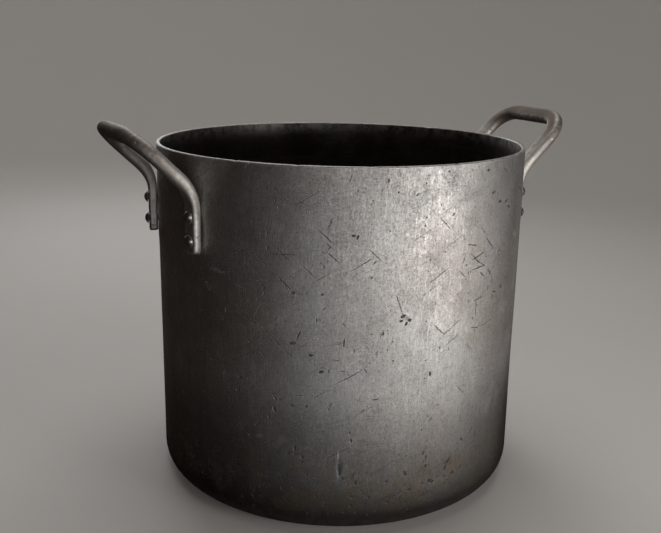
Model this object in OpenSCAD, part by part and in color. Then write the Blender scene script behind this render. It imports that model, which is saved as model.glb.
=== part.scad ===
// Aluminium stockpot: one drawn shell and two bar handles, each riveted on at two feet.
// Millimetres, +Z up. The origin is on the pot's axis, on the surface that it stands on.
// The handles point along -X (left) and +X (right), and the front of the pot faces -Y.

/* [Pot] */
// Outer diameter of the shell
pot_d = 300; // [260:2:360]
// Height of the shell, from the surface it stands on to the rim
pot_h = 276; // [200:1:340]
// Thickness of the side wall
wall_t = 3; // [2.4:0.1:4]
// Thickness of the bottom
floor_t = 4; // [3:0.1:6]
// Outer radius where the wall turns into the bottom
corner_r = 20; // [12:1:30]
// Radius of the two rounded edges of the rim
rim_r = 1.1; // [0.4:0.1:1.1]

/* [Handle feet] */
// Width of the flattened feet, across their flat faces
foot_w = 13; // [11.5:0.5:16]
// Thickness of the flattened feet
foot_t = 7.4; // [6:0.1:8]
// Radius of the long edges of the feet
foot_edge_r = 2.4; // [1:0.1:2.7]
// Radius of the corners at the ends of the feet
foot_corner_r = 3; // [1:0.5:3]
// Angle round the pot from the handle's middle to each foot
foot_angle = 17; // [15:0.5:24]
// Angle by which each handle sits forward of the pot's side
handle_turn = 3; // [0:0.5:8]
// Distance from the rim down to the end of a foot
foot_end = 71; // [71:1:90]
// Distance from the rim down to where the bar leaves the wall
foot_top = 38; // [30:1:44]

/* [Handle bar] */
// Width of the rounded bar along the arms and the grip
bar_w = 13.6; // [12:0.2:16]
// Thickness of the bar along the arms and the grip
bar_t = 10.4; // [9.2:0.2:12]
// Radius of the bar's long edges along the arms and the grip
bar_edge_r = 4.5; // [2:0.1:4.5]
// Radius of the bend at the top of a foot, to the middle of the bar
bend_r = 30; // [22:1:40]
// Slope of the arms above the level
arm_slope = 44; // [35:1:55]
// Straight length of the left handle's arms
left_arm = 20.5; // [15:0.5:40]
// Straight length of the right handle's arms
right_arm = 25; // [15:0.5:40]
// Radius of the two corners beside the grip, to the middle of the bar
grip_r = 23; // [16:1:30]

/* [Rivets] */
// Diameter of a rivet's shank
rivet_d = 5; // [4:0.5:6]
// Diameter of the domed head on the foot
head_d = 10; // [8:0.5:11]
// Height of the domed head
head_h = 3.2; // [2:0.1:4]
// Diameter of the head formed inside the pot
tail_d = 9; // [7:0.5:11]
// Height of the head formed inside the pot
tail_h = 1.8; // [1:0.1:3]
// Distance from the rim down to the upper rivets
upper_drop = 43.5; // [42:0.5:46]
// Distance from the upper rivets down to the lower ones
rivet_pitch = 17.5; // [14:0.5:19]
// Gap between a shank and its hole, on the radius
hole_gap = 0.1; // [0.05:0.05:0.3]

/* [Hidden] */

pot_r = pot_d / 2;
inner_r = pot_r - wall_t;
inner_corner_r = corner_r - floor_t;

// Directions round the pot, as angles from +X
left = 180 + handle_turn;
right = -handle_turn;
// A foot's side of its handle, as a sign: the left handle's front foot is on its +Y side
front_of_left = 1;
rear_of_left = -1;
front_of_right = -1;
rear_of_right = 1;
// Heights of the two rows of rivets
upper = pot_h - upper_drop;
lower = upper - rivet_pitch;

// Narrowing of the inner head's radius, for each millimetre of its height
tail_taper = 0.6;

// Steps round a quarter turn
shell_steps = 8;
edge_steps = 3;
end_steps = 4;
bend_steps = 9;
grip_steps = 10;
head_steps = 6;
// Sides of a full lathe turn
$fn = 128;

// ---- small vector and curve helpers ----

function unit(v) = v / norm(v);

// Point at an angle on a circle round a centre, in a plane
function on_arc(centre, r, angle) = centre + r * [cos(angle), sin(angle)];

// Points along an arc, from one angle to another, both ends included
function arc(centre, r, from, to, steps) =
    [for (i = [0 : steps]) on_arc(centre, r, from + (to - from) * i / steps)];

// ---- the shell ----

// Half section of the shell: out along the bottom, up the wall, over the rim, and down inside
function shell_section() = concat(
    [[0, 0]],
    arc([pot_r - corner_r, corner_r], corner_r, -90, 0, shell_steps),
    arc([pot_r - rim_r, pot_h - rim_r], rim_r, 0, 90, edge_steps),
    arc([inner_r + rim_r, pot_h - rim_r], rim_r, 90, 180, edge_steps),
    arc([inner_r - inner_corner_r, corner_r], inner_corner_r, 0, -90, shell_steps),
    [[0, floor_t]]
);

// ---- the handle bar, in its own frame: out from the pot along +X, grip along Y ----

// A section across the bar is [width, thickness, radius of its edges]
foot_section = [foot_w, foot_t, foot_edge_r];
bar_section = [bar_w, bar_t, bar_edge_r];

// A station is [point, direction of the bar, direction of its width, section there]
function station(point, along, across, section) = [point, along, across, section];

foot_out = [cos(foot_angle), sin(foot_angle), 0];
foot_across = [-sin(foot_angle), cos(foot_angle), 0];
foot_r = pot_r + foot_t / 2;

function foot_point(z) = foot_r * foot_out + [0, 0, z];

bend_turn = 90 - arm_slope;
arm_along = [cos(arm_slope), 0, sin(arm_slope)];

// Share from 0 to 1 that starts and ends gently
function eased(t) = t * t * (3 - 2 * t);

// The rounded end of a foot, from its tip up to where it has its full width
function foot_stations() = [
    for (i = [0 : end_steps])
        let (
            a = 90 * i / end_steps,
            width = foot_w - 2 * foot_corner_r * (1 - sin(a))
        )
        station(foot_point(pot_h - foot_end + foot_corner_r * (1 - cos(a))),
            [0, 0, 1], foot_across, [width, foot_t, foot_edge_r])
];

// The bend out from the wall: t runs from 0 at the flat foot to 1 at the rounded arm
function bend_station(t) =
    let (
        turn = bend_turn * t,
        along = [sin(turn), 0, cos(turn)],
        twisted = unit((1 - t) * foot_across + t * [0, 1, 0]),
        across = unit(twisted - along * (twisted * along)),
        rise = bend_r * [1 - cos(turn), 0, sin(turn)],
        section = foot_section + (bar_section - foot_section) * eased(t)
    )
    station(foot_point(pot_h - foot_top) + rise, along, across, section);

function bend_stations() = [for (i = [0 : bend_steps]) bend_station(i / bend_steps)];

// The corner beside the grip, from the arm's direction round to the grip's
function corner_station(arm, t) =
    let (
        turn = 90 * t,
        corner_start = bend_station(1)[0] + arm * arm_along,
        move = grip_r * (sin(turn) * arm_along - (1 - cos(turn)) * [0, 1, 0])
    )
    station(corner_start + move,
        cos(turn) * arm_along - sin(turn) * [0, 1, 0],
        cos(turn) * [0, 1, 0] + sin(turn) * arm_along, bar_section);

function corner_stations(arm) = [for (i = [0 : grip_steps]) corner_station(arm, i / grip_steps)];

function arm_stations(arm) = concat(foot_stations(), bend_stations(), corner_stations(arm));

function reversed(list) = [for (i = [len(list) - 1 : -1 : 0]) list[i]];

// The same station on the handle's other arm, with the bar running the other way
function mirrored(s) =
    let (flip = function (v) [v.x, -v.y, v.z])
    station(flip(s[0]), -flip(s[1]), flip(s[2]), s[3]);

// Outline of a section: [across the bar's width, across its thickness]
function outline(section) =
    let (
        edge_r = section[2],
        w = section[0] / 2 - edge_r,
        t = section[1] / 2 - edge_r
    )
    concat(
        arc([w, t], edge_r, 0, 90, edge_steps),
        arc([-w, t], edge_r, 90, 180, edge_steps),
        arc([-w, -t], edge_r, 180, 270, edge_steps),
        arc([w, -t], edge_r, 270, 360, edge_steps)
    );

function ring(s) =
    let (through = cross(s[2], s[1]))
    [for (p = outline(s[3])) s[0] + p.x * s[2] + p.y * through];

// A closed bar through all the stations
module bar(stations) {
    rings = [for (s = stations) ring(s)];
    sides = len(rings[0]);
    count = len(rings);
    faces = concat(
        [[for (i = [0 : sides - 1]) i]],
        [for (k = [0 : count - 2], i = [0 : sides - 1], half = [0, 1])
            let (
                a = k * sides + i,
                b = k * sides + (i + 1) % sides
            )
            half == 0 ? [a, a + sides, b] : [b, a + sides, b + sides]
        ],
        [[for (i = [sides - 1 : -1 : 0]) (count - 1) * sides + i]]
    );
    polyhedron(points = [for (r = rings, p = r) p], faces = faces, convexity = 6);
}

// ---- rivets, in their own frame: the axis along +X, out from the pot's axis ----

// Half section of a set rivet: [distance along the axis, radius], from the inner head outward
function rivet_section() =
    let (
        seat = pot_r + foot_t,
        // The inner head bears on the curved wall at its edge
        tail_seat = sqrt(pow(inner_r, 2) - pow(tail_d / 2, 2)),
        dome_r = (pow(head_d / 2, 2) + pow(head_h, 2)) / (2 * head_h),
        dome_mid = seat + head_h - dome_r,
        dome_half = asin(head_d / 2 / dome_r)
    )
    concat(
        [[tail_seat - tail_h, 0], [tail_seat - tail_h, tail_d / 2 - tail_h * tail_taper],
            [tail_seat, tail_d / 2], [tail_seat, rivet_d / 2], [seat, rivet_d / 2]],
        [for (i = [0 : head_steps])
            let (a = dome_half * (1 - i / head_steps))
            [dome_mid + dome_r * cos(a), dome_r * sin(a)]
        ]
    );

module at_rivet(handle, side, z) {
    rotate([0, 0, handle + side * foot_angle]) translate([0, 0, z]) children();
}

// Straight hole for one rivet, through the foot and the wall
module rivet_hole(handle, side, z) {
    at_rivet(handle, side, z)
        translate([inner_r - wall_t, 0, 0]) rotate([0, 90, 0])
            cylinder(r = rivet_d / 2 + hole_gap, h = 3 * wall_t + 2 * foot_t);
}

module handle_holes(handle) {
    for (side = [-1, 1], z = [upper, lower]) rivet_hole(handle, side, z);
}

// ---- the sub-parts ----

module pot_body() {
    color([0.72, 0.72, 0.72]) difference() {
        rotate_extrude() polygon(shell_section());
        for (handle = [left, right]) handle_holes(handle);
    }
}

module handle(direction, arm) {
    one_side = arm_stations(arm);
    other_side = [for (s = reversed(one_side)) mirrored(s)];
    color([0.78, 0.77, 0.74]) difference() {
        rotate([0, 0, direction]) bar(concat(one_side, other_side));
        handle_holes(direction);
    }
}

module left_handle() { handle(left, left_arm); }

module right_handle() { handle(right, right_arm); }

module rivet(handle, side, z) {
    color([0.82, 0.82, 0.8]) at_rivet(handle, side, z)
        rotate([0, 90, 0]) rotate_extrude($fn = 48)
            polygon([for (p = rivet_section()) [p.y, p.x]]);
}

pot_body();
left_handle();
right_handle();
rivet(left, front_of_left, upper);  // left_front_upper_rivet
rivet(left, front_of_left, lower);  // left_front_lower_rivet
rivet(left, rear_of_left, upper);  // left_rear_upper_rivet
rivet(left, rear_of_left, lower);  // left_rear_lower_rivet
rivet(right, front_of_right, upper);  // right_front_upper_rivet
rivet(right, front_of_right, lower);  // right_front_lower_rivet
rivet(right, rear_of_right, upper);  // right_rear_upper_rivet
rivet(right, rear_of_right, lower);  // right_rear_lower_rivet
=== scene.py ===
"""The looks of an old aluminium stockpot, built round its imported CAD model.

Metres, +Z up, the pot's axis at the origin. Directions round the pot are angles from +X, in
degrees. Places and sizes of marks on the wall are in degrees and millimetres.
"""
import math
from types import SimpleNamespace

import bmesh
import bpy
import numpy as np
from mathutils import Matrix, Vector, noise


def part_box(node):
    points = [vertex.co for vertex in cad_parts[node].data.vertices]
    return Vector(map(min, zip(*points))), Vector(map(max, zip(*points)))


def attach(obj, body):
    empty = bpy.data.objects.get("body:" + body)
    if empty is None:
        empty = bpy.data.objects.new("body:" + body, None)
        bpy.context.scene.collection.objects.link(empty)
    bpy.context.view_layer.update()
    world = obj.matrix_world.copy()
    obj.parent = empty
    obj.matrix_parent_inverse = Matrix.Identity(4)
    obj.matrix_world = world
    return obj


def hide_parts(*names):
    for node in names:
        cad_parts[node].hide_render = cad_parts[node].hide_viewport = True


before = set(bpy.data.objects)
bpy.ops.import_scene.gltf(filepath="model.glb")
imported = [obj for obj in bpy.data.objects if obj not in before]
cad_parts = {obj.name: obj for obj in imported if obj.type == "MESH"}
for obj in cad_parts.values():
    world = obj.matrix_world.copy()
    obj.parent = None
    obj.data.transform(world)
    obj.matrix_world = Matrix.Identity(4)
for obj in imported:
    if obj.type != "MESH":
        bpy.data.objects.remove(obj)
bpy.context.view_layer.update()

# ---- sizes, from the CAD model and as in the CAD ----

MM = 0.001
shell_low, shell_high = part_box("pot_body")
POT_R = (shell_high.x - shell_low.x) / 2
POT_H = shell_high.z
WALL = 3 * MM
BOTTOM = 4 * MM
CORNER = 20 * MM
RIM_ROUND = 1.1 * MM
INNER_R = POT_R - WALL
INNER_CORNER = CORNER - BOTTOM
FOOT_W = 13 * MM
FOOT_T = 7.4 * MM

HANDLES = ("left_handle", "right_handle")
RIVETS = sorted(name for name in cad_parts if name.endswith("_rivet"))
# Directions of the middles of the two handles
LEFT = 183
RIGHT = -3


def angle_of(node):
    """The direction from the pot's axis to the middle of a node, in degrees."""
    low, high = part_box(node)
    middle = (low + high) / 2
    return math.degrees(math.atan2(middle.y, middle.x))


FEET = sorted({round(angle_of(name), 1) for name in RIVETS})
FOOT_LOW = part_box("left_handle")[0].z
FOOT_TALL = 33 * MM


def smooth(t):
    """A smooth step from 0 to 1 as t goes from 0 to 1."""
    t = min(1.0, max(0.0, t))
    return t * t * (3 - 2 * t)


def turned_by(angle, other):
    """The signed turn from one direction to another, in degrees, from -180 to 180."""
    return (other - angle + 180) % 360 - 180


# ---- damage that is in the shell's shape ----

# Where the long gouge is: direction, height, and its half width, half height and depth
GOUGE = (244.4, 54.5, 1.5, 6.2, 0.7)

GOUGE_TILT = -85

# Soft dents: direction, height, half width, half height, depth
DENTS = (
    GOUGE,
    (207, 190, 13, 9, 0.7),
    (229, 76, 16, 12, 0.5),
    (262, 172, 7, 12, 0.15),
    (287, 203, 12, 8, 0.2),
    (296, 238, 14, 8, 0.25),
    (309, 211, 12, 9, 0.5),
    (306, 128, 22, 18, 0.5),
    (272, 40, 14, 8, 0.4),
    (331, 96, 24, 30, 1.0),
    (18, 140, 18, 26, 0.9),
    (44, 66, 26, 16, 1.0),
    (71, 205, 15, 12, 0.8),
    (104, 92, 22, 24, 1.1),
    (131, 230, 12, 10, 0.6),
    (150, 48, 20, 14, 0.8),
)
# Where a dent has run out: the square of the distance from its middle, in its half sizes
DENT_END = 9
# Nicks in the rim: direction, half width, depth
NICKS = (
    (232, 1.6, 0.35), (251, 2.2, 0.3), (276, 1.4, 0.4), (305, 2.4, 0.35), (214, 1.8, 0.3),
    (342, 1.5, 0.4), (28, 2.5, 0.4), (66, 1.6, 0.35), (112, 2.0, 0.4), (147, 1.5, 0.3),
)
# How far the shell is out of round, its waves, and how far its bottom is dished up
OVAL = 0.5 * MM
OVAL_TURN = 35
WAVE = 0.25 * MM
WAVE_SIZE = 70 * MM
DISH = 0.8 * MM
# How far from the feet the wall keeps its true radius
FEET_REACH = 20 * MM
RIM_WAVE = 0.12 * MM
RIM_REACH = 4 * MM


def near_feet(angle, height):
    """1 under the handles' feet, where the wall keeps its true radius, and 0 away from them."""
    beside = min(abs(math.radians(turned_by(a, angle))) * POT_R for a in FEET)
    above = max(0.0, FOOT_LOW - height, height - FOOT_LOW - FOOT_TALL)
    away = math.hypot(max(0.0, beside - FOOT_W / 2), above)
    return 1 - smooth(away / FEET_REACH)


def pushed_in(angle, height):
    """How far the wall lies inside its true radius at one place."""
    turn = math.radians(angle)
    place = Vector((POT_R * math.cos(turn), POT_R * math.sin(turn), height))
    oval = OVAL * (1 + math.cos(2 * (turn - math.radians(OVAL_TURN)))) / 2
    wave = WAVE * (1 + noise.fractal(place / WAVE_SIZE, 0.9, 2.0, 3)) / 2
    soft = (oval + wave) * (1 - near_feet(angle, height)) * smooth(height / CORNER)
    dents = 0.0
    for direction, middle, half_wide, half_tall, depth in DENTS:
        beside = math.radians(turned_by(direction, angle)) * POT_R / (half_wide * MM)
        above = (height - middle * MM) / (half_tall * MM)
        reach = beside * beside + above * above
        if reach < DENT_END:
            dents += depth * MM * math.exp(-reach)
    return max(0.0, soft) + dents


def rim_drop(angle):
    """How far the rim lies below its true height in one direction."""
    drop = RIM_WAVE * (1 + math.sin(3 * math.radians(angle)))
    for direction, half_wide, depth in NICKS:
        beside = math.radians(turned_by(direction, angle)) * POT_R / (half_wide * MM)
        drop += depth * MM * math.exp(-beside * beside)
    return drop


# ---- the shell's mesh ----

# Sizes of its faces: round the pot, up the wall, down inside, and near the gouge
AROUND_STEP = 2.25 * MM
WALL_STEP = 2.9 * MM
INSIDE_STEP = 5 * MM
FINE_STEP = 0.45 * MM
FINE_REACH = 14 * MM
CORNER_STEPS = 11
RIM_STEPS = 4
DISC_STEPS = 14

# The layout for baking: (left, bottom, width, height) of each part of the surface. The parts
# that go all round are in two halves, which meet behind the handles.
ATLAS = {
    ("outside", 0): (0.003, 0.003, 0.692, 0.492),
    ("outside", 1): (0.003, 0.505, 0.692, 0.492),
    ("inside", 0): (0.702, 0.003, 0.295, 0.190),
    ("inside", 1): (0.702, 0.200, 0.295, 0.190),
    ("floor", 0): (0.702, 0.397, 0.295, 0.295),
    ("under", 0): (0.702, 0.700, 0.295, 0.295),
}
OUTER_SLOT, INNER_SLOT = 0, 1


def graded(start, stop, coarse, fine, place, reach):
    """Positions from start to stop in coarse steps, which turn fine near a place."""
    found = [start]
    while found[-1] < stop:
        share = min(1.0, abs(found[-1] - place) / reach)
        found.append(found[-1] + fine + (coarse - fine) * share)
    stretch = (stop - start) / (found[-1] - start)
    return [start + (x - start) * stretch for x in found]


def arc(centre, radius, start, stop, steps):
    """Points [radius, height] along an arc in the shell's half section, from start to stop."""
    turns = [math.radians(start + (stop - start) * i / steps) for i in range(steps + 1)]
    return [(centre[0] + radius * math.cos(t), centre[1] + radius * math.sin(t)) for t in turns]


def shell_section():
    """The half section in order from the middle of the underside to the middle of the floor.

    It is a list of (part, [[radius, height], ...]). Neighbouring parts share their end points.
    """
    wall_low, wall_high = CORNER, POT_H - RIM_ROUND
    edge = POT_R - CORNER
    heights = graded(wall_low, wall_high, WALL_STEP, FINE_STEP, GOUGE[1] * MM, FINE_REACH)
    outside = arc((edge, CORNER), CORNER, -90, 0, CORNER_STEPS)[:-1]
    outside += [(POT_R, z) for z in heights[:-1]]
    outside += arc((POT_R - RIM_ROUND, wall_high), RIM_ROUND, 0, 90, RIM_STEPS)
    outside += arc((INNER_R + RIM_ROUND, wall_high), RIM_ROUND, 90, 180, RIM_STEPS)
    inside_rows = round((wall_high - CORNER) / INSIDE_STEP)
    inside = [(INNER_R, wall_high + (CORNER - wall_high) * i / inside_rows)
              for i in range(inside_rows)]
    inner_edge = INNER_R - INNER_CORNER
    inside += arc((inner_edge, CORNER), INNER_CORNER, 0, -90, CORNER_STEPS)
    under = [(edge * (i + 1) / DISC_STEPS, 0) for i in range(DISC_STEPS)]
    floor = [(inner_edge * (1 - i / DISC_STEPS), BOTTOM) for i in range(DISC_STEPS)]
    return [("under", under), ("outside", outside), ("inside", inside), ("floor", floor)]


def shell_point(radius, height, angle):
    """A point of the section at one direction, with the shell's wear in its shape."""
    turn = math.radians(angle)
    on_disc = 1 - smooth(radius / (POT_R - CORNER))
    r = radius - pushed_in(angle, height) * smooth(radius / POT_R * 4 - 3)
    near_rim = smooth((height - POT_H + RIM_REACH) / RIM_REACH)
    z = height + DISH * on_disc - rim_drop(angle) * near_rim
    return (r * math.cos(turn), r * math.sin(turn), z)


def half_of(angle):
    """Which half a direction is in, and its share of the way round that half."""
    round_rear = (angle - RIGHT) % 360
    rear = LEFT - RIGHT
    if round_rear < rear:
        return 0, round_rear / rear
    return 1, (round_rear - rear) / (360 - rear)


def atlas_place(part, angle, half, share):
    """Where a corner lies in the baking layout; share is how far along its part's section."""
    if part in ("floor", "under"):
        left, bottom, wide, tall = ATLAS[(part, 0)]
        turn = math.radians(angle)
        return (left + wide * (1 + share * math.cos(turn)) / 2,
                bottom + tall * (1 + share * math.sin(turn)) / 2)
    left, bottom, wide, tall = ATLAS[(part, half)]
    along = half_of(angle)[1] if half_of(angle)[0] == half else 1.0
    return (left + wide * along, bottom + tall * share)


def section_shares(part, points):
    """How far along its part each point is, from 0 to 1. On a disc it is the radius."""
    if part in ("floor", "under"):
        widest = max(r for r, _ in points)
        return [r / widest for r, _ in points]
    reached = [0.0]
    for a, b in zip(points, points[1:]):
        reached.append(reached[-1] + math.dist(a, b))
    return [x / reached[-1] for x in reached]


def shell_angles():
    """The directions of the mesh's columns: both seams are among them."""
    step = math.degrees(AROUND_STEP / POT_R)
    fine = math.degrees(FINE_STEP / POT_R)
    reach = math.degrees(FINE_REACH / POT_R)
    rear_count = round((LEFT - RIGHT) / step)
    rear = [RIGHT + (LEFT - RIGHT) * i / rear_count for i in range(rear_count)]
    front = graded(LEFT, 360 + RIGHT, step, fine, GOUGE[0], reach)[:-1]
    return rear + front


def shell_rings():
    """The rings of the mesh as [radius, height], and the strips of faces between them.

    A strip is (part, ring, next ring, share of the ring, share of the next). Where a ring is
    None, the strip closes on the middle of the underside or of the floor.
    """
    rings, strips = [], []
    for part, points in shell_section():
        shares = section_shares(part, points)
        if part == "under":
            strips.append((part, None, 0, 0.0, shares[0]))
        start = len(rings)
        if part != "under":
            start -= 1
            points = points[1:]
        if part == "floor":
            shares = [1.0] + shares[1:]
        rings += points
        strips += [(part, start + i, start + i + 1, shares[i], shares[i + 1])
                   for i in range(len(shares) - 1)]
    strips.append(("floor", len(rings) - 1, None, shares[-1], 0.0))
    return rings, strips


def strip_faces(strip, angles, low_middle, high_middle):
    """The faces of one strip, and the places of their corners in the baking layout."""
    part, a, b, share_a, share_b = strip
    count = len(angles)
    faces, places = [], []
    for i, angle in enumerate(angles):
        j = (i + 1) % count
        if a is None:
            face = [(low_middle, angle, 0), (b * count + j, angles[j], share_b),
                    (b * count + i, angle, share_b)]
        elif b is None:
            face = [(a * count + i, angle, share_a), (a * count + j, angles[j], share_a),
                    (high_middle, angle, 0)]
        else:
            face = [(a * count + i, angle, share_a), (a * count + j, angles[j], share_a),
                    (b * count + j, angles[j], share_b), (b * count + i, angle, share_b)]
        faces.append([vertex for vertex, _, _ in face])
        half = half_of(angle)[0]
        places += [atlas_place(part, turn, half, share) for _, turn, share in face]
    return faces, places


def make_shell():
    """The drawn shell as one closed mesh, with its baking layout."""
    angles = shell_angles()
    rings, strips = shell_rings()
    coords = [shell_point(r, z, angle) for r, z in rings for angle in angles]
    low_middle, high_middle = len(coords), len(coords) + 1
    coords += [shell_point(0, 0, 0), shell_point(0, BOTTOM, 0)]
    faces, places, slots = [], [], []
    for strip in strips:
        more_faces, more_places = strip_faces(strip, angles, low_middle, high_middle)
        faces += more_faces
        places += more_places
        slots += [INNER_SLOT if strip[0] in ("inside", "floor") else OUTER_SLOT] * len(angles)
    mesh = bpy.data.meshes.new("shell")
    mesh.from_pydata(coords, [], faces)
    layout = mesh.uv_layers.new(name="OFBake")
    layout.data.foreach_set("uv", [x for place in places for x in place])
    mesh.polygons.foreach_set("material_index", slots)
    mesh.polygons.foreach_set("use_smooth", [True] * len(faces))
    shell = bpy.data.objects.new("shell", mesh)
    bpy.context.scene.collection.objects.link(shell)
    return shell


# ---- handles and rivets: the CAD shape in fine even faces, softened and worn ----

BAR_VOXEL = 0.75 * MM
RIVET_VOXEL = 0.35 * MM
# Rounds of smoothing: of a bar's feet, of its arms and grip, and of a rivet
BAR_ROUNDS = 6
BAR_ROUNDER = 25
RIVET_ROUNDS = 5
# How far beyond a foot's outer face a bar is fully round, and what rounding takes off it
ROUND_REACH = 10 * MM
ROUND_GROW = 0.15 * MM
# Wear, as [(size, depth), ...]
BAR_WEAR = [(14 * MM, 0.30 * MM), (5 * MM, 0.12 * MM)]
RIVET_WEAR = [(3.5 * MM, 0.35 * MM)]
WELD = 0.001 * MM


def even_mesh(node, voxel, rounds):
    """A copy of a CAD node's mesh in small even faces, with its facets smoothed away."""
    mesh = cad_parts[node].data.copy()
    welded = bmesh.new()
    welded.from_mesh(mesh)
    bmesh.ops.remove_doubles(welded, verts=welded.verts, dist=WELD)
    welded.to_mesh(mesh)
    welded.free()
    copy = bpy.data.objects.new("copy", mesh)
    bpy.context.scene.collection.objects.link(copy)
    remesh = copy.modifiers.new("even", "REMESH")
    remesh.mode = "VOXEL"
    remesh.voxel_size = voxel
    remesh.use_smooth_shade = True
    relax = copy.modifiers.new("relax", "SMOOTH")
    relax.factor = 0.5
    relax.iterations = rounds
    evaluated = copy.evaluated_get(bpy.context.evaluated_depsgraph_get())
    result = bpy.data.meshes.new_from_object(evaluated)
    bpy.data.objects.remove(copy)
    return result


def round_off(mesh, rounder):
    """Moves a handle's arms and grip towards a rounder copy, which has the same vertices.

    The feet keep their flat faces. Rounding takes a little off all round, which is put back.
    """
    for vertex, other in zip(mesh.vertices, rounder.vertices):
        away = math.hypot(vertex.co.x, vertex.co.y) - POT_R - FOOT_T
        share = smooth(away / ROUND_REACH)
        vertex.co = vertex.co.lerp(other.co + other.normal * ROUND_GROW, share)
    bpy.data.meshes.remove(rounder)


def worn_piece(mesh, name, unevenness):
    """A piece made of a mesh. unevenness is [(size, depth), ...] of its wear."""
    places = [v.co.copy() for v in mesh.vertices]
    normals = [v.normal.copy() for v in mesh.vertices]
    for vertex, place, normal in zip(mesh.vertices, places, normals):
        depth = sum(d * (1 + noise.noise(place / size)) / 2 for size, d in unevenness)
        vertex.co = place - normal * depth
    mesh.materials.clear()
    piece = bpy.data.objects.new(name, mesh)
    bpy.context.scene.collection.objects.link(piece)
    mark_edges(mesh)
    return piece


def mark_edges(mesh):
    """Stores how sharply the surface bulges at each vertex, as the attribute bulge."""
    count = len(mesh.vertices)
    places = np.zeros(count * 3)
    mesh.vertices.foreach_get("co", places)
    places = places.reshape(-1, 3)
    normals = np.zeros(count * 3)
    mesh.vertices.foreach_get("normal", normals)
    normals = normals.reshape(-1, 3)
    ends = np.zeros(len(mesh.edges) * 2, int)
    mesh.edges.foreach_get("vertices", ends)
    a, b = ends.reshape(-1, 2).T
    along = places[b] - places[a]
    far = np.maximum(np.einsum("ij,ij->i", along, along), 1e-12)
    total, met = np.zeros(count), np.zeros(count)
    for near, out in ((a, -1), (b, 1)):
        bend = out * np.einsum("ij,ij->i", along, normals[near]) / far
        np.add.at(total, near, bend)
        np.add.at(met, near, 1)
    # Curvature in 1/m, so that a 2.4 mm edge reads about 200
    bulge = total / np.maximum(met, 1) * 2
    for _ in range(2):
        spread, met = bulge.copy(), np.ones(count)
        np.add.at(spread, a, bulge[b])
        np.add.at(spread, b, bulge[a])
        np.add.at(met, a, 1)
        np.add.at(met, b, 1)
        bulge = spread / met
    stored = mesh.attributes.new("bulge", "FLOAT", "POINT")
    stored.data.foreach_set("value", bulge.astype(np.float32))


# ---- materials ----

# How many marks the renderer is given side by side
MARKS_AT_ONCE = 8


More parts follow.
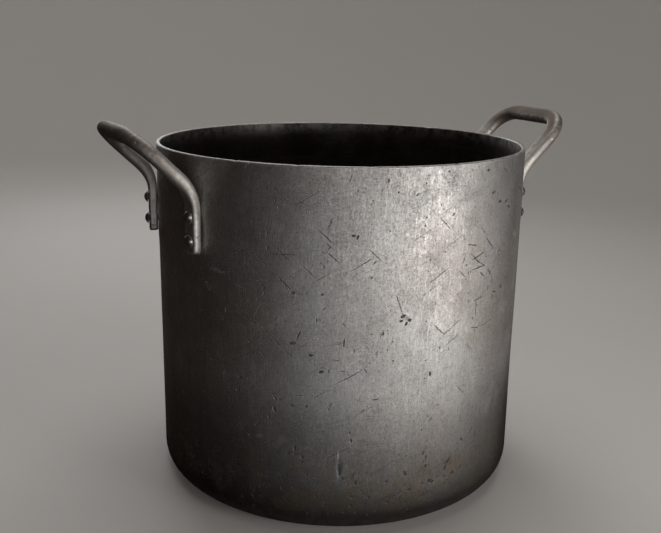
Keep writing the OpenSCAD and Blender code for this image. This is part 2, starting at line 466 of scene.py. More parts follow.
class Nodes:
    """Short calls that add nodes to one material and join them up."""

    def __init__(self, name):
        self.material = bpy.data.materials.new(name)
        self.material.use_nodes = True
        self.tree = self.material.node_tree
        self.shader = self.tree.nodes["Principled BSDF"]
        self.place = self.add("ShaderNodeTexCoord").outputs["Object"]
        # The last masks of marks, which the next ones are worked out after
        self.last = None

    def add(self, kind, inputs=(), **settings):
        """A new node. inputs is a list of (socket, value), where a value may be a socket."""
        node = self.tree.nodes.new(kind)
        for key, value in settings.items():
            setattr(node, key, value)
        for socket, value in inputs:
            self.feed(node.inputs[socket], value)
        return node

    def feed(self, socket, value):
        """Joins a value to a socket: a link from another socket, or a plain number or colour."""
        if isinstance(value, bpy.types.NodeSocket):
            self.tree.links.new(value, socket)
        else:
            socket.default_value = value

    def math(self, operation, a, b=0.0):
        return self.add("ShaderNodeMath", [(0, a), (1, b)], operation=operation).outputs[0]

    def vector(self, operation, a, b=(0, 0, 0)):
        node = self.add("ShaderNodeVectorMath", [(0, a), (1, b)], operation=operation)
        return node.outputs["Value" if operation == "LENGTH" else "Vector"]

    def ramp(self, value, start, stop, low=0.0, high=1.0):
        """A smooth change from low to high as value goes from start to stop."""
        inputs = [(0, value), (1, start), (2, stop), (3, low), (4, high)]
        node = self.add("ShaderNodeMapRange", inputs, interpolation_type="SMOOTHSTEP")
        return node.outputs[0]

    def blend(self, share, a, b):
        """Colour a where share is 0, and b where it is 1."""
        a, b = (self.colour(c) for c in (a, b))
        node = self.add("ShaderNodeMix", [(0, share), (6, a), (7, b)], data_type="RGBA")
        return node.outputs[2]

    def covered(self, base, layers):
        """A colour with others laid over it in turn. layers is [(mask, colour), ...]."""
        for mask, colour in layers:
            base = self.blend(mask, base, colour)
        return base

    def faint(self, mask, strength):
        """A mask at part of its strength."""
        return self.math("MULTIPLY", mask, strength)

    def shade(self, colour, amount):
        """A colour made darker: amount is from 0, black, to 1, unchanged."""
        inputs = [(0, 1.0), (6, colour), (7, amount)]
        node = self.add("ShaderNodeMix", inputs, data_type="RGBA", blend_type="MULTIPLY")
        return node.outputs[2]

    def colour(self, value):
        return value if isinstance(value, bpy.types.NodeSocket) else (*value, 1)

    def spread(self, place, amounts):
        """A place with its coordinates multiplied by amounts."""
        return self.vector("MULTIPLY", place, amounts)

    def noise(self, place, size, detail=3.0, rough=0.55):
        """Fractal noise from 0 to 1, with features of about size, in metres."""
        inputs = [("Vector", place), ("Scale", 1 / size), ("Detail", detail)]
        inputs.append(("Roughness", rough))
        return self.add("ShaderNodeTexNoise", inputs).outputs["Fac"]

    def shaken(self, place, size, reach):
        """A place moved about by noise, so that what is drawn there gets ragged edges."""
        inputs = [("Vector", place), ("Scale", 1 / size), ("Detail", 2.0)]
        colour = self.add("ShaderNodeTexNoise", inputs).outputs["Color"]
        centred = self.vector("SUBTRACT", colour, (0.5, 0.5, 0.5))
        return self.vector("ADD", place, self.spread(centred, (2 * reach,) * 3))

    def height(self):
        return self.split(self.place)[2]

    def split(self, place):
        return self.add("ShaderNodeSeparateXYZ", [(0, place)]).outputs

    def twisted(self, place, slope):
        """A place turned round the axis as it rises, so that upright lines lean by slope."""
        turn = self.math("MULTIPLY", self.split(place)[2], -slope / POT_R)
        inputs = [("Vector", place), ("Angle", turn)]
        return self.add("ShaderNodeVectorRotate", inputs, rotation_type="Z_AXIS").outputs[0]

    def lines(self, slope, width, length, share, shift=0.0):
        """Thin broken lines that lean by slope, at 0 to 1. share is how much they cover."""
        moved = self.vector("ADD", self.place, (shift, 2 * shift, 3 * shift))
        leaning = self.spread(self.twisted(moved, slope), (1, 1, width / length))
        ridge = self.math("ABSOLUTE", self.math("SUBTRACT", self.noise(leaning, width, 1.0), 0.5))
        broken = self.ramp(self.noise(moved, 24 * MM, 5.0, 0.75), 0.62 - share, 0.92 - share)
        return self.math("MULTIPLY", self.ramp(ridge, 0.055, 0.0), broken)

    def rings(self, width, length, share):
        """Thin broken lines round the pot, as a lathe and a scouring hand leave them."""
        flat = self.spread(self.place, (width / length, width / length, 1))
        ridge = self.math("ABSOLUTE", self.math("SUBTRACT", self.noise(flat, width, 1.0), 0.5))
        broken = self.ramp(self.noise(self.place, 30 * MM, 5.0, 0.75), 0.62 - share, 0.92 - share)
        return self.math("MULTIPLY", self.ramp(ridge, 0.03, 0.0), broken)

    def specks(self, place, cell, size, share):
        """Scattered specks of up to size, one in a part of the cells of that width."""
        node = self.add("ShaderNodeTexVoronoi", [("Vector", place), ("Scale", 1 / cell)])
        chance = self.split(node.outputs["Color"])
        radius = self.math("MULTIPLY", self.math("ADD", chance[0], 0.35), size / cell / 2.2)
        near = self.math("DIVIDE", node.outputs["Distance"], radius)
        chosen = self.ramp(chance[1], share, share * 0.9)
        return self.math("MULTIPLY", self.ramp(near, 1.0, 0.55), chosen)

    def most(self, masks):
        """The strongest of several masks at each place."""
        found = masks[0]
        for mask in masks[1:]:
            found = self.math("MAXIMUM", found, mask)
        return found

    def mark(self, place, angle, height, tilt, length, width, edge=0.45):
        """A mask that is 1 on one mark on the wall: a long thin spot that leans by tilt."""
        turn = Matrix.Rotation(math.radians(angle), 3, "Z")
        turn = turn @ Matrix.Rotation(math.radians(tilt), 3, "X")
        middle = Matrix.Rotation(math.radians(angle), 3, "Z") @ Vector((POT_R, 0, 0))
        middle.z = height * MM
        scale = (25 * MM, length * MM / 2, width * MM / 2)
        inputs = [("Vector", place), ("Location", middle), ("Rotation", turn.to_euler())]
        inputs.append(("Scale", scale))
        near = self.add("ShaderNodeMapping", inputs, vector_type="TEXTURE").outputs[0]
        return self.ramp(self.vector("LENGTH", near), 1.0, edge)

    def after(self, place, value):
        """The same place, worked out after value: the renderer can hold few masks at once."""
        inputs = [(0, value), (1, (1e-9,) * 3), (2, place)]
        node = self.add("ShaderNodeVectorMath", inputs, operation="MULTIPLY_ADD")
        return node.outputs["Vector"]

    def marks(self, place, rows, edge=0.45):
        """All the marks of a list, a few at a time."""
        for start in range(0, len(rows), MARKS_AT_ONCE):
            here = self.after(place, self.last) if self.last else place
            few = [self.mark(here, *row, edge=edge) for row in rows[start:start + MARKS_AT_ONCE]]
            self.last = self.most(few if start == 0 else few + [self.last])
        return self.last

    def finish(self, base, metallic, roughness, bumps):
        """Joins the surface up. bumps is a list of (height from 0 to 1, depth in metres)."""
        self.feed(self.shader.inputs["Base Color"], self.colour(base))
        self.feed(self.shader.inputs["Metallic"], metallic)
        self.feed(self.shader.inputs["Roughness"], roughness)
        relief = self.math("MULTIPLY", *bumps[0])
        for value, depth in bumps[1:]:
            relief = self.math("ADD", relief, self.math("MULTIPLY", value, depth))
        inputs = [("Height", relief), ("Distance", 1.0), ("Strength", 1.0)]
        self.feed(self.shader.inputs["Normal"], self.add("ShaderNodeBump", inputs).outputs[0])
        return self.material


# Marks on the wall: direction, height, tilt above the level, length and width
SCRATCHES = (
    (226, 151, -41, 46, 0.7), (221, 172, 62, 14, 0.6), (254, 143, 88, 6, 0.9),
    (245, 152, 88, 8, 1.2), (245, 165, -60, 5, 0.9), (255, 157, 75, 4, 0.9),
    (283, 216, -12, 12, 0.8), (286, 207, 18, 17, 1.0), (287, 201, -27, 14, 0.8),
    (286, 198, 6, 16, 0.9), (288, 192, -38, 9, 0.9), (292, 191, -43, 9, 0.9),
    (286, 167, -88, 14, 1.1), (287, 174, 8, 12, 0.8), (295, 175, -8, 6, 1.3),
    (294, 171, 85, 6, 1.1), (312, 247, -23, 22, 1.2), (286, 152, -12, 10, 0.7),
    (292, 153, 10, 20, 0.6), (297, 267, -25, 9, 0.8), (260, 178, -70, 20, 0.9),
    (254, 109, 5, 6, 0.9), (251, 131, -60, 5, 0.8), (241, 131, 75, 4, 0.7),
    (245, 131, -5, 5, 0.6), (243, 139, 0, 5, 0.8), (226, 107, -50, 6, 1.1),
    (228, 107, 10, 6, 0.8), (233, 111, 6, 6, 0.7), (228, 214, 2, 26, 0.6),
    (340, 180, 35, 30, 0.8), (22, 90, -55, 24, 0.8), (58, 160, 15, 40, 0.7),
    (96, 210, -30, 20, 1.0), (120, 130, 62, 34, 0.8), (160, 95, -20, 22, 0.8),
)
PITS = (
    (249, 44, 85, 4, 2.0), (245.4, 47, -20, 3, 2.2), (248, 33, 80, 3, 1.8), (265, 34, 5, 4, 2.0),
    (263.5, 48, -60, 5, 2.0), (258, 43, -40, 3, 1.8), (262, 28, 80, 5, 1.8), (270, 51, 80, 3, 1.8),
    (270, 58, 60, 3, 1.6), (269, 62, 70, 4, 1.6), (278, 50, 35, 6, 2.4), (277, 45, 65, 5, 2.4),
    (280, 39, -5, 5, 2.4), (283, 64, -60, 4, 1.8), (272, 37, -20, 6, 2.8), (277, 32, 70, 3, 2.0),
    (270, 124, 88, 4, 1.8), (261, 170, 30, 4, 2.4), (263, 167, -20, 3, 2.2),
    (262, 164.5, 60, 3, 1.8), (260.5, 167, 0, 3, 1.6), (239, 130, 15, 4, 2.0), (231, 150, 5, 5, 2.2),
    (236, 142, 0, 3, 2.2), (210, 118, 80, 4, 3.0), (215, 118, 0, 4, 2.6), (231, 103, 0, 3, 2.4),
    (226, 98, -70, 5, 2.6), (235, 103, 60, 3, 1.6), (234, 63, 20, 3, 3.0), (232, 65, 0, 2, 1.8),
    (230, 65, 60, 5, 2.2), (240, 26, 85, 3, 2.2), (295, 244, 0, 5, 2.0), (299, 243, 20, 4, 1.8),
    (301, 238, -25, 5, 2.4), (299, 177, -10, 4, 2.4), (291, 252, 15, 5, 2.0),
    (288, 269, 0, 3, 2.0), (231, 187, 0, 3, 2.2), (239, 187, 20, 2, 2.0), (204, 182, -45, 8, 3.6),
    (247, 229, 10, 3, 1.8), (248, 228, 70, 3, 1.6), (12, 60, 30, 5, 2.6), (35, 200, 70, 4, 2.2),
    (82, 46, 10, 6, 2.6), (101, 170, -30, 5, 2.4), (140, 60, 60, 5, 2.6), (168, 150, 20, 4, 2.2),
)
# How far the painted highlight round a pit reaches, as a multiple of its listed size
PIT_REACH = 1.7
# Soft dark smudge marks, in the same form; some of them are painted shade
SMUDGES_AND_SHADE = (
    (228, 75, 20, 16, 12), (236, 70, -10, 14, 7), (221, 75, 30, 10, 8), (208, 195, 0, 28, 6),
    (309, 213, -15, 18, 11), (305, 206, 20, 10, 6), (300, 211, 0, 22, 6), (237, 82, 0, 10, 4),
    (310, 128, 0, 34, 26), (301, 160, -12, 30, 12), (262, 169, 20, 8, 7), (239, 168, 0, 7, 6),
    # Painted shade: these three long marks darken the wall towards its right edge
    (296, 90, 70, 60, 20), (312, 185, 80, 70, 20), (316, 95, 84, 110, 24),
    (20, 120, 40, 40, 18), (60, 80, -20, 44, 20), (110, 190, 60, 36, 16),
    (140, 110, 10, 40, 22), (340, 60, -30, 40, 18),
)
LIGHT_MARKS = (
    (286, 209, 18, 9, 0.9), (244, 66, 86, 11, 1.4), (239, 168, 70, 4, 1.0), (247, 166, -15, 14, 0.7),
    (268, 186, 62, 22, 0.8), (279, 188, 85, 16, 1.3), (283, 193, 80, 10, 1.0), (269, 160, 80, 18, 0.9),
    (300, 188, 35, 12, 1.0), (275, 108, 60, 4, 1.6),
)

# Height below which the wall darkens towards the bottom, partly metal dulled by flames and partly
# painted shade, and how fast it darkens below, per metre
DULLING_AND_SHADE_TOP = 112 * MM
DULLING_AND_SHADE_RATE = 13
# Heights at which the near-black strip at the very bottom of the wall, and the grime above it, end
LOWEST_DARK_TOP = 24 * MM
STAINS_TOP = 82 * MM
CRUST_TOP = 95 * MM
# The stretches of painted shade, a little darker, at the foot and at the top of the wall
LOW_PAINTED_SHADE_TOP = 46 * MM
HIGH_PAINTED_SHADE_FROM = 175 * MM
# A large patch of painted shade low at the right, in the form of the marks
LOW_RIGHT_PAINTED_SHADE = (319, 50, 84, 190, 110)

# The shades of the wall, as linear colours
FRESH_METAL_AND_HIGHLIGHT = (0.93, 0.915, 0.89)
BRIGHT_METAL = (0.78, 0.76, 0.735)
GREY_METAL = (0.56, 0.55, 0.535)
COOL_FILM = (0.46, 0.50, 0.49)
WARM_FILM = (0.50, 0.43, 0.385)
DARK_FILM_AND_SHADE = (0.26, 0.24, 0.225)
GRIME_AND_SHADE = (0.045, 0.038, 0.034)
BROWN_STAIN = (0.46, 0.35, 0.235)
GOUGE_BLUE = (0.045, 0.066, 0.07)


def outer_metal():
    """The outside: dull scoured aluminium with films, scratches, pits, stains and grime, and with
    painted shade and painted highlights.
    """
    n = Nodes("outer_aluminium")
    noises = wall_noises(n)
    ragged = n.shaken(n.place, 2.5 * MM, 0.55 * MM)
    very_ragged = n.shaken(n.place, 8 * MM, 4 * MM)
    masks = line_masks(n, noises)
    masks |= mark_masks(n, ragged, very_ragged)
    masks |= speck_masks(n, ragged, noises)
    masks |= gouge_masks(n, ragged)
    masks |= grime_and_shade_masks(n, ragged, very_ragged, noises)
    m = SimpleNamespace(**masks)

    base = filmed_metal(n, noises, m)
    base = n.blend(n.faint(m.stains, 0.8), base, BROWN_STAIN)
    # Darker towards the bottom of the wall: partly dulled metal, partly painted shade
    base = n.shade(base, low_dulling_and_shade(n))
    # Painted shade at the foot of the wall and at its top
    base = n.shade(base, n.ramp(n.height(), 8 * MM, LOW_PAINTED_SHADE_TOP, 0.45, 1.0))
    base = n.shade(base, n.ramp(n.height(), HIGH_PAINTED_SHADE_FROM, POT_H, 1.0, 0.82))
    base = worn_and_shaded_colour(n, base, noises, m)

    # Marks, grime and the painted shadow round the feet make the wall less metallic and rougher
    dirt_and_shade = n.most([n.faint(mask, strength) for mask, strength in (
        (m.stains, 0.3), (m.crust, 0.5), (m.smudges, 0.3), (m.small_pits, 0.6),
        (m.low_pits, 0.8), (m.scratches, 0.6), (m.pits, 0.85), (m.gouge, 0.8),
        (m.feet, 0.7), (m.soot, 0.8))])
    metallic = n.ramp(dirt_and_shade, 0.0, 1.0, 1.0, 0.25)
    gloss_grain = n.ramp(noises.grain, 0.3, 0.7, -0.04, 0.05)
    roughness = n.math("ADD", n.ramp(noises.clouds, 0.3, 0.7, 0.56, 0.54), gloss_grain)
    roughness = n.math("ADD", roughness, n.ramp(noises.streaks, 0.35, 0.65, 0.03, -0.03))
    roughness = n.math("SUBTRACT", roughness, n.faint(m.flecks, 0.08))
    roughness = n.math("ADD", roughness, n.faint(dirt_and_shade, 0.2))

    cuts = n.most([m.scratches, m.pits, m.small_cuts, m.small_pits, m.low_pits])
    lines = n.math("SUBTRACT", m.bright_lines, m.dark_lines)
    bumps = [
        (n.math("SUBTRACT", 1.0, cuts), 0.22 * MM),
        (n.math("ADD", n.faint(noises.streaks, 0.6), lines), 0.03 * MM),
        (noises.mottle, 0.012 * MM),
        (noises.crumple, 0.05 * MM),
        (noises.grain, 0.03 * MM),
    ]
    return n.finish(base, metallic, roughness, bumps)


def wall_noises(n):
    """The noises that the wall's wear follows."""
    crinkled = n.spread(n.shaken(n.place, 6 * MM, 1.5 * MM), (1, 1, 0.28))
    return SimpleNamespace(
        clouds=n.noise(n.place, 55 * MM, 6.0, 0.62),
        mottle=n.noise(n.place, 9 * MM, 6.0, 0.68),
        grain=n.noise(n.place, 1.5 * MM, 3.0, 0.65),
        crumple=n.noise(crinkled, 1.3 * MM, 4.0, 0.7),
        streaks=n.noise(n.spread(n.place, (1, 1, 0.05)), 1.6 * MM, 3.0, 0.7),
        broad_streaks=n.noise(n.spread(n.place, (1, 1, 0.1)), 9 * MM, 3.0, 0.6),
    )


def line_masks(n, noises):
    """Bright flecks, and the bright and dark lines that years of scouring have left."""
    shine = n.ramp(noises.clouds, 0.35, 0.6, 0.5, 0.9)
    return {
        "flecks": n.math("MULTIPLY", n.ramp(noises.crumple, 0.54, 0.66), shine),
        "bright_lines": n.most([
            n.lines(0.05, 1.0 * MM, 16 * MM, 0.24),
            n.lines(-0.25, 1.1 * MM, 14 * MM, 0.24, 0.11),
            n.lines(0.75, 1.2 * MM, 22 * MM, 0.2, 0.23),
        ]),
        "dark_lines": n.most([
            n.lines(-0.9, 1.5 * MM, 24 * MM, 0.27, 0.37),
            n.lines(1.6, 1.6 * MM, 20 * MM, 0.26, 0.51),
            n.rings(1.3 * MM, 24 * MM, 0.2),
        ]),
    }


def mark_masks(n, ragged, very_ragged):
    """The marks that are placed one by one: scratches, pits with a ring of painted highlight round
    each, and smudge marks, some of them painted shade.
    """
    broken = n.ramp(n.noise(n.place, 5 * MM, 3.0), 0.36, 0.56, 0.5, 1.0)
    scratches = n.math("MULTIPLY", n.marks(ragged, SCRATCHES, edge=0.7), broken)
    crumbled = n.ramp(n.noise(n.place, 1.3 * MM, 2.0), 0.36, 0.54, 0.7, 1.0)
    # Each pit is a hill in this mask: its top is the pit, and its foot a thin ring of painted
    # highlight
    pit_hills = n.marks(ragged, grown(PITS, PIT_REACH), edge=0.0)
    pit_feet = n.math("MULTIPLY", n.ramp(pit_hills, 0.06, 0.18), n.ramp(pit_hills, 0.32, 0.22))
    here_and_there = n.ramp(n.noise(n.place, 3 * MM, 2.0), 0.42, 0.6)
    return {
        "scratches": scratches,
        "pits": n.math("MULTIPLY", n.ramp(pit_hills, 0.26, 0.4), crumbled),
        "pit_edges": n.math("MULTIPLY", pit_feet, here_and_there),
        "smudges": n.marks(very_ragged, SMUDGES_AND_SHADE, edge=0.1),
        "light_marks": n.marks(ragged, LIGHT_MARKS),
    }


def speck_masks(n, ragged, noises):
    """Small pits and cuts, scattered over the wall, with larger pits low down."""
    upright = n.spread(ragged, (1, 1, 0.45))
    leaning = n.spread(n.twisted(ragged, 0.8), (1, 1, 0.4))
    small_pits = n.most([
        n.specks(ragged, 4.2 * MM, 1.3 * MM, 0.5),
        n.specks(upright, 7 * MM, 1.9 * MM, 0.4),
        n.specks(leaning, 8 * MM, 1.9 * MM, 0.4),
    ])
    small_cuts = n.most([
        n.specks(n.spread(n.twisted(ragged, -1.1), (1, 1, 0.12)), 4 * MM, 1.3 * MM, 0.5),
        n.specks(n.spread(n.twisted(ragged, 1.7), (1, 1, 0.1)), 4 * MM, 1.3 * MM, 0.5),
        n.specks(n.spread(n.twisted(ragged, 0.4), (1, 1, 0.14)), 4.5 * MM, 1.3 * MM, 0.45),
    ])
    low_pits = n.most([
        n.specks(ragged, 6 * MM, 2.6 * MM, 0.7),
        n.specks(upright, 4 * MM, 1.8 * MM, 0.6),
    ])
    in_patches = n.ramp(noises.clouds, 0.42, 0.56, 0.25, 1.0)
    return {
        "small_pits": small_pits,
        "small_cuts": n.math("MULTIPLY", small_cuts, in_patches),
        "low_pits": n.math("MULTIPLY", low_pits, stain_zone(n)),
    }


def gouge_masks(n, ragged):
    """The gouge low on the front, and the light edge round it."""
    place = (GOUGE[0], GOUGE[1], GOUGE_TILT)
    tall, wide = 2 * GOUGE[3], 2 * GOUGE[2]
    return {
        "gouge": n.mark(ragged, *place, tall, wide + 0.2, edge=0.75),
        "gouge_edge": n.mark(ragged, *place, tall + 2.2, wide + 1.4, edge=0.7),
    }


def grime_and_shade_masks(n, ragged, very_ragged, noises):
    """What has dried on to the wall, the near-black strip at its bottom, and painted shade low at the
    right and round the feet.
    """
    stains = n.ramp(n.noise(very_ragged, 20 * MM, 6.0, 0.75), 0.4, 0.62)
    crust = n.ramp(n.noise(ragged, 4.5 * MM, 5.0, 0.8), 0.57, 0.65)
    # Near black over the lowest few centimetres of the wall, next to the floor
    soot = n.ramp(n.height(), LOWEST_DARK_TOP, 4 * MM)
    return {
        "stains": n.math("MULTIPLY", stains, stain_zone(n)),
        "crust": n.math("MULTIPLY", crust, n.ramp(n.height(), CRUST_TOP, 30 * MM)),
        # Painted shade low at the right of the wall
        "burnt": n.mark(very_ragged, *LOW_RIGHT_PAINTED_SHADE, edge=0.15),
        # Painted contact shadow round each foot
        "feet": n.most([painted_foot_shadow(n, ragged, angle) for angle in FEET]),
        "soot": n.math("MULTIPLY", soot, n.ramp(noises.mottle, 0.25, 0.7, 1.0, 0.55)),
    }


def stain_zone(n):
    """1 at the foot of the wall, falling to 0 where the stains and the large pits end."""
    return n.ramp(n.height(), STAINS_TOP, 18 * MM)


def filmed_metal(n, noises, m):
    """The wall's metal, grey to bright, under its films and fine lines."""
    base = n.blend(n.ramp(noises.clouds, 0.3, 0.7, 0.2, 0.6), GREY_METAL, BRIGHT_METAL)
    cool = n.noise(n.place, 80 * MM, 3.0)
    warm = n.noise(n.vector("ADD", n.place, (0.3, 0.1, 0.2)), 70 * MM, 4.0)
    return n.covered(base, [
        (n.ramp(cool, 0.4, 0.7, 0, 0.4), COOL_FILM),
        (n.ramp(warm, 0.4, 0.7, 0, 0.4), WARM_FILM),
        (n.ramp(noises.mottle, 0.5, 0.8, 0, 0.16), DARK_FILM_AND_SHADE),
        (n.ramp(noises.broad_streaks, 0.5, 0.8, 0, 0.2), DARK_FILM_AND_SHADE),
        (n.ramp(noises.grain, 0.48, 0.70, 0, 0.65), DARK_FILM_AND_SHADE),
        (n.ramp(noises.crumple, 0.46, 0.30, 0, 0.4), DARK_FILM_AND_SHADE),
        (n.ramp(noises.streaks, 0.5, 0.68, 0, 0.25), BRIGHT_METAL),
        (n.faint(m.flecks, 0.7), FRESH_METAL_AND_HIGHLIGHT),
        (n.faint(m.bright_lines, 0.6), FRESH_METAL_AND_HIGHLIGHT),
        (n.faint(m.dark_lines, 0.85), DARK_FILM_AND_SHADE),
    ])


def worn_and_shaded_colour(n, base, noises, m):
    """The wall's colour with its marks, its grime, and painted shade and highlights."""
    rim = n.ramp(n.height(), POT_H - 2.2 * MM, POT_H - 0.8 * MM)
    brightened = n.ramp(noises.mottle, 0.35, 0.6, 0.7, 0.2)
    return n.covered(base, [
        # Dark smudge marks, with painted shade towards the right edge
        (n.math("MULTIPLY", m.smudges, n.ramp(noises.mottle, 0.3, 0.65, 0.15, 0.7)), DARK_FILM_AND_SHADE),
        (n.faint(m.small_cuts, 0.65), GRIME_AND_SHADE),
        (n.faint(m.small_pits, 0.8), GRIME_AND_SHADE),
        (n.faint(m.crust, 0.55), GRIME_AND_SHADE),
        (n.faint(m.low_pits, 0.9), GRIME_AND_SHADE),
        (n.faint(m.scratches, 0.95), GRIME_AND_SHADE),
        # Painted highlight round the pits
        (n.faint(m.pit_edges, 0.22), FRESH_METAL_AND_HIGHLIGHT),
        (n.faint(m.pits, 0.95), GRIME_AND_SHADE),
        (n.faint(m.light_marks, 0.7), BRIGHT_METAL),
        # Painted shade low at the right of the wall
        (n.faint(m.burnt, 0.7), GRIME_AND_SHADE),
        (n.faint(m.gouge_edge, 0.25), BRIGHT_METAL),
        (m.gouge, GOUGE_BLUE),
        # Painted contact shadow round the feet
        (n.faint(m.feet, 0.8), GRIME_AND_SHADE),
        (m.soot, GRIME_AND_SHADE),
        (n.math("MULTIPLY", rim, brightened), BRIGHT_METAL),
    ])


def grown(rows, factor):
    """The marks of a list, made longer and wider."""
    return [(*row[:3], row[3] * factor, row[4] * factor) for row in rows]


def low_dulling_and_shade(n):
    """1 high on the wall, and less towards the bottom: partly metal dulled by flames, partly painted
    shade.
    """
    below = n.math("MAXIMUM", n.math("SUBTRACT", DULLING_AND_SHADE_TOP, n.height()), 0.0)
    return n.math("EXPONENT", n.math("MULTIPLY", below, -DULLING_AND_SHADE_RATE))


def painted_foot_shadow(n, place, angle):
    """A dark line of painted contact shadow round one foot, where it meets the wall."""
    middle = (FOOT_LOW + FOOT_TALL / 2) / MM
    wide = FOOT_W / MM + 3.5
    tall = FOOT_TALL / MM + 6
    return n.mark(place, angle, middle, 90, tall, wide, edge=0.8)


# The shades of the inside
BOILED_DARK_AND_SHADE = (0.055, 0.046, 0.040)
BOILED_PALE_AND_SHADE = (0.13, 0.115, 0.10)
TIDE_LINE = (0.17, 0.145, 0.12)
SOOT_BROWN = (0.03, 0.024, 0.02)
SCRAPED = (0.34, 0.32, 0.29)
CHARRED = (0.02, 0.016, 0.014)


def inner_metal():
    """The inside: darkened partly by years of boiling and partly as painted shade, with tide lines and
    a paler scoured rim.
    """
    n = Nodes("inner_aluminium")
    clouds = n.noise(n.place, 45 * MM, 6.0, 0.65)
    mottle = n.noise(n.place, 8 * MM, 6.0, 0.7)
    wavy = n.shaken(n.place, 60 * MM, 5 * MM)
    tides = n.noise(n.spread(wavy, (0.04, 0.04, 1)), 14 * MM, 4.0, 0.7)
    # Near-black base: partly boiled dark metal, partly painted shade inside the pot
    base = n.blend(n.ramp(clouds, 0.35, 0.68), BOILED_DARK_AND_SHADE, BOILED_PALE_AND_SHADE)
    near_rim = n.ramp(n.height(), POT_H - 14 * MM, POT_H)
    scoured = n.math("MULTIPLY", near_rim, n.ramp(mottle, 0.35, 0.6))
    scrapes = n.most([n.rings(1.2 * MM, 60 * MM, 0.16), n.lines(0.9, 1.2 * MM, 40 * MM, 0.1)])
    specks = n.specks(n.shaken(n.place, 3 * MM, 0.6 * MM), 9 * MM, 2.2 * MM, 0.4)
    base = n.covered(base, [
        (n.ramp(tides, 0.52, 0.62, 0, 0.6), TIDE_LINE),
        (n.ramp(mottle, 0.55, 0.75, 0, 0.8), SOOT_BROWN),
        (n.faint(scoured, 0.5), GREY_METAL),
        (n.faint(scrapes, 0.45), SCRAPED),
        (n.faint(specks, 0.7), CHARRED),
    ])
    roughness = n.ramp(clouds, 0.3, 0.7, 0.62, 0.46)
    bumps = [(mottle, 0.3 * MM), (n.math("SUBTRACT", 1.0, specks), 0.25 * MM)]
    return n.finish(base, 0.75, roughness, bumps)


# The stretch over which hands have browned the handles, as distances from the axis
HELD_FROM = 172 * MM
HELD_TO = 190 * MM
# The shades of the handles
BAR_DARK = (0.47, 0.44, 0.405)
BAR_PALE = (0.62, 0.59, 0.55)
HAND_BROWN = (0.20, 0.155, 0.125)
BAR_MOTTLE = (0.24, 0.215, 0.19)
RUBBED_AND_HIGHLIGHT_METAL = (0.82, 0.80, 0.77)
GREASE_AND_SHADE = (0.10, 0.085, 0.07)
FOOT_BROWN = (0.16, 0.14, 0.12)


def bar_metal():
    """The handles: worn bar with its edges painted bright, partly rubbed metal and partly painted
    highlight, with pits, and with painted shade underneath.
    """
    n = Nodes("bar_aluminium")
    clouds = n.noise(n.place, 22 * MM, 5.0, 0.6)
    mottle = n.noise(n.place, 4 * MM, 5.0, 0.7)
    grain = n.noise(n.place, 0.9 * MM, 3.0, 0.6)
    out = n.vector("LENGTH", n.spread(n.place, (1, 1, 0)))
    held = n.ramp(n.math("ADD", out, n.faint(clouds, 10 * MM)), HELD_FROM, HELD_TO)
    ragged = n.shaken(n.place, 1.5 * MM, 0.4 * MM)
    pits = n.most([
        n.specks(ragged, 4.5 * MM, 1.3 * MM, 0.35),
        n.specks(n.spread(ragged, (1, 0.5, 1)), 7 * MM, 1.8 * MM, 0.3),
    ])
    bulge = n.add("ShaderNodeAttribute", attribute_name="bulge").outputs["Fac"]
    # Edges painted bright: partly rubbed metal, partly painted highlight
    brightened = n.math("MULTIPLY", n.ramp(bulge, 60, 170), n.ramp(mottle, 0.3, 0.55, 1.0, 0.5))
    facing_up = n.split(n.add("ShaderNodeNewGeometry").outputs["Normal"])[2]
    # Painted shade on the faces that look down
    grease_and_shade = n.math("MULTIPLY", n.ramp(facing_up, -0.2, -0.9), n.ramp(clouds, 0.3, 0.6, 0.9, 0.5))
    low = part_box("left_handle")[0].z
    at_foot = n.ramp(n.height(), low + 34 * MM, low)
    foot = n.math("MULTIPLY", at_foot, n.ramp(mottle, 0.4, 0.65))
    base = n.blend(n.ramp(clouds, 0.35, 0.65), BAR_DARK, BAR_PALE)
    base = n.covered(base, [
        (n.faint(held, 0.85), HAND_BROWN),
        (n.ramp(mottle, 0.53, 0.7, 0, 0.65), BAR_MOTTLE),
        (n.faint(pits, 0.8), GRIME_AND_SHADE),
        (brightened, RUBBED_AND_HIGHLIGHT_METAL),
        (grease_and_shade, GREASE_AND_SHADE),
        (n.faint(foot, 0.5), FOOT_BROWN),
    ])

    dirt_and_shade = n.most([n.faint(pits, 0.8), n.faint(grease_and_shade, 0.5)])
    metallic = n.ramp(dirt_and_shade, 0.0, 1.0, 1.0, 0.35)
    gloss_grain = n.ramp(grain, 0.3, 0.7, -0.05, 0.07)
    roughness = n.math("ADD", n.ramp(clouds, 0.3, 0.7, 0.66, 0.58), gloss_grain)
    roughness = n.math("SUBTRACT", roughness, n.faint(brightened, 0.08))
    roughness = n.math("ADD", roughness, n.faint(dirt_and_shade, 0.3))
    scuffs = n.noise(n.spread(n.place, (1, 0.12, 1)), 1.4 * MM, 2.0, 0.6)
    bumps = [
        (n.math("SUBTRACT", 1.0, pits), 0.3 * MM), (mottle, 0.12 * MM),
        (scuffs, 0.03 * MM), (grain, 0.02 * MM),
    ]
    return n.finish(base, metallic, roughness, bumps)


# The shades of the rivets
RIVET_DARK = (0.46, 0.44, 0.41)
RIVET_PALE = (0.74, 0.72, 0.69)


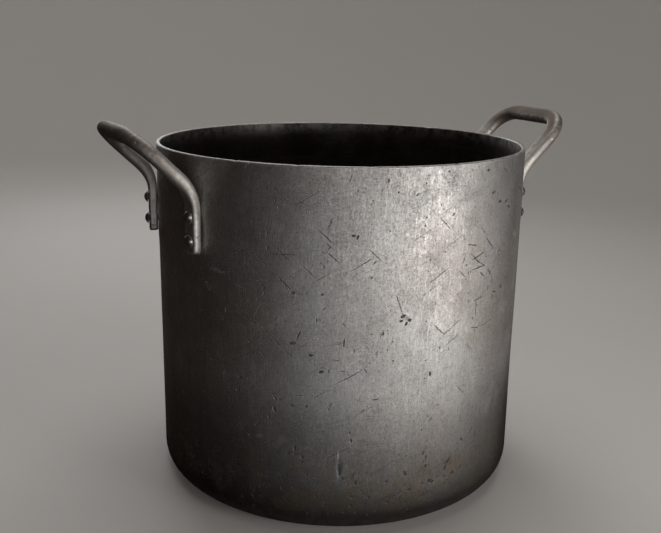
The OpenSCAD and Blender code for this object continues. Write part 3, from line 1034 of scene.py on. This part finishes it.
def rivet_metal():
    """The rivets: hammered domes, with grease round their edge and dark heads inside."""
    n = Nodes("rivet_aluminium")
    clouds = n.noise(n.place, 6 * MM, 4.0, 0.6)
    grain = n.noise(n.place, 0.8 * MM, 3.0, 0.6)
    out = n.vector("LENGTH", n.spread(n.place, (1, 1, 0)))
    seat = POT_R + FOOT_T
    skirt = n.ramp(out, seat + 1.1 * MM, seat + 0.1 * MM)
    outside = n.ramp(out, POT_R - 1 * MM, POT_R)
    grease_and_shade = n.math("MULTIPLY", skirt, outside)
    inside = n.ramp(out, POT_R - 1 * MM, POT_R - 2 * MM)
    specks = n.specks(n.shaken(n.place, 1 * MM, 0.3 * MM), 2.2 * MM, 0.8 * MM, 0.4)
    base = n.blend(n.ramp(clouds, 0.35, 0.65), RIVET_DARK, RIVET_PALE)
    base = n.covered(base, [
        (n.faint(grease_and_shade, 0.9), GRIME_AND_SHADE),
        (n.faint(inside, 0.8), GREASE_AND_SHADE),
        (n.faint(specks, 0.7), GRIME_AND_SHADE),
    ])
    metallic = n.ramp(grease_and_shade, 0.0, 1.0, 1.0, 0.4)
    roughness = n.math("ADD", n.ramp(clouds, 0.3, 0.7, 0.40, 0.30), n.faint(grease_and_shade, 0.3))
    bumps = [
        (n.math("SUBTRACT", 1.0, specks), 0.15 * MM), (clouds, 0.15 * MM), (grain, 0.02 * MM),
    ]
    return n.finish(base, metallic, roughness, bumps)


# ---- the pieces ----


def settle(piece, stands_for):
    """Puts a finished piece on the pot's one body, in place of its CAD node."""
    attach(piece, "root")
    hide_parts(stands_for)


def make_pot():
    shell = make_shell()
    shell.data.materials.append(outer_metal())
    shell.data.materials.append(inner_metal())
    settle(shell, "pot_body")
    bar = bar_metal()
    for node in HANDLES:
        mesh = even_mesh(node, BAR_VOXEL, BAR_ROUNDS)
        round_off(mesh, even_mesh(node, BAR_VOXEL, BAR_ROUNDER))
        handle = worn_piece(mesh, node + "_bar", BAR_WEAR)
        handle.data.materials.append(bar)
        settle(handle, node)
    rivet = rivet_metal()
    for node in RIVETS:
        mesh = even_mesh(node, RIVET_VOXEL, RIVET_ROUNDS)
        head = worn_piece(mesh, node + "_head", RIVET_WEAR)
        head.data.materials.append(rivet)
        settle(head, node)


# ---- the studio ----

# The camera: its direction from the pot, distance from the axis and height, how far it looks
# down, aside and is rolled, and its lens and sensor in millimetres
CAMERA_TURN = -117
CAMERA_AWAY = 0.7286
CAMERA_UP = 0.3613
CAMERA_DOWN = 14.89
CAMERA_ASIDE = 0.51
CAMERA_ROLL = 0.956
LENS = 47.83
SENSOR = 36
# The stage: its radius, the radius of the bend from floor to wall, and its height
STAGE_R = 2.2
STAGE_BEND = 0.9
STAGE_TALL = 2.6
STAGE_SIDES = 96
STAGE_DARK = (0.74, 0.72, 0.695)
STAGE_PALE = (0.78, 0.76, 0.735)
# The light that comes from all round
ROOM_SHADE = (1.0, 0.62, 0.48, 1)
ROOM_LIGHT = 0.014


def make_camera():
    """The camera, at the height and in the direction from which the pot is seen."""
    data = bpy.data.cameras.new("camera")
    data.sensor_width = SENSOR
    data.lens = LENS
    camera = bpy.data.objects.new("camera", data)
    bpy.context.scene.collection.objects.link(camera)
    turn = math.radians(CAMERA_TURN)
    stand = (CAMERA_AWAY * math.cos(turn), CAMERA_AWAY * math.sin(turn), CAMERA_UP)
    place = Matrix.Translation(stand)
    facing = Matrix.Rotation(math.radians(CAMERA_TURN + 90 + CAMERA_ASIDE), 4, "Z")
    down = Matrix.Rotation(math.radians(90 - CAMERA_DOWN), 4, "X")
    roll = Matrix.Rotation(math.radians(CAMERA_ROLL), 4, "Z")
    camera.matrix_world = place @ facing @ down @ roll
    bpy.context.scene.camera = camera


def make_stage():
    """A pale floor that curves up into a wall all round."""
    flat = STAGE_R - STAGE_BEND
    outline = [(0.02, 0.0), (0.6, 0.0), (flat, 0.0)]
    for degrees in range(6, 91, 6):
        turn = math.radians(degrees)
        outline.append((flat + STAGE_BEND * math.sin(turn), STAGE_BEND - STAGE_BEND * math.cos(turn)))
    outline.append((STAGE_R, STAGE_TALL))
    sides = STAGE_SIDES
    turns = [2 * math.pi * i / sides for i in range(sides)]
    coords = [(r * math.cos(t), r * math.sin(t), z) for r, z in outline for t in turns]
    faces = [tuple(range(sides))]
    for k in range(len(outline) - 1):
        for i in range(sides):
            j = (i + 1) % sides
            faces.append((k * sides + i, k * sides + j, (k + 1) * sides + j, (k + 1) * sides + i))
    mesh = bpy.data.meshes.new("stage")
    mesh.from_pydata(coords, [], faces)
    mesh.polygons.foreach_set("use_smooth", [True] * len(faces))
    stage = bpy.data.objects.new("stage", mesh)
    bpy.context.scene.collection.objects.link(stage)
    n = Nodes("stage")
    soft = n.noise(n.place, 0.5, 2.0)
    base = n.blend(soft, STAGE_DARK, STAGE_PALE)
    mesh.materials.append(n.finish(base, 0.0, 0.9, [(n.noise(n.place, 3 * MM), 0.1 * MM)]))
    stage.visible_glossy = False


def softbox(name, direction, away, height, size, power, aim, shade, spread=180):
    """A rectangular light in one direction from the pot, facing a height on its axis.

    Its light spreads over an angle, in degrees, so that a low one doesn't glare on the floor.
    """
    data = bpy.data.lights.new(name, "AREA")
    data.shape = "RECTANGLE"
    data.size, data.size_y = size
    data.energy = power
    data.color = shade
    data.spread = math.radians(spread)
    light = bpy.data.objects.new(name, data)
    bpy.context.scene.collection.objects.link(light)
    turn = math.radians(direction)
    place = Vector((away * math.cos(turn), away * math.sin(turn), height))
    facing = (Vector((0, 0, aim)) - place).to_track_quat("-Z", "Y")
    light.matrix_world = Matrix.Translation(place) @ facing.to_matrix().to_4x4()
    light.visible_camera = False


def make_lights():
    """A key light at the right and a wide fill near the camera, both low, and a top and a rear."""
    softbox("key", -62.5, 1.15, 0.17, (0.44, 0.32), 1.33, 0.15, (1.0, 0.965, 0.94), 90)
    softbox("fill", -102, 1.25, 0.19, (1.3, 0.36), 0.78, 0.15, (0.98, 0.99, 1.0), 90)
    softbox("top", 60, 0.5, 1.9, (1.6, 1.6), 11.0, 0.0, (1.0, 0.98, 0.96))
    softbox("rear", 85, 1.6, 0.6, (0.9, 0.8), 1.5, 0.15, (0.97, 0.98, 1.0), 90)
    world = bpy.data.worlds.new("world")
    bpy.context.scene.world = world
    world.use_nodes = True
    background = world.node_tree.nodes["Background"]
    background.inputs["Color"].default_value = ROOM_SHADE
    background.inputs["Strength"].default_value = ROOM_LIGHT
    bpy.context.scene.view_settings.view_transform = "Standard"


make_camera()
make_stage()
make_lights()
make_pot()
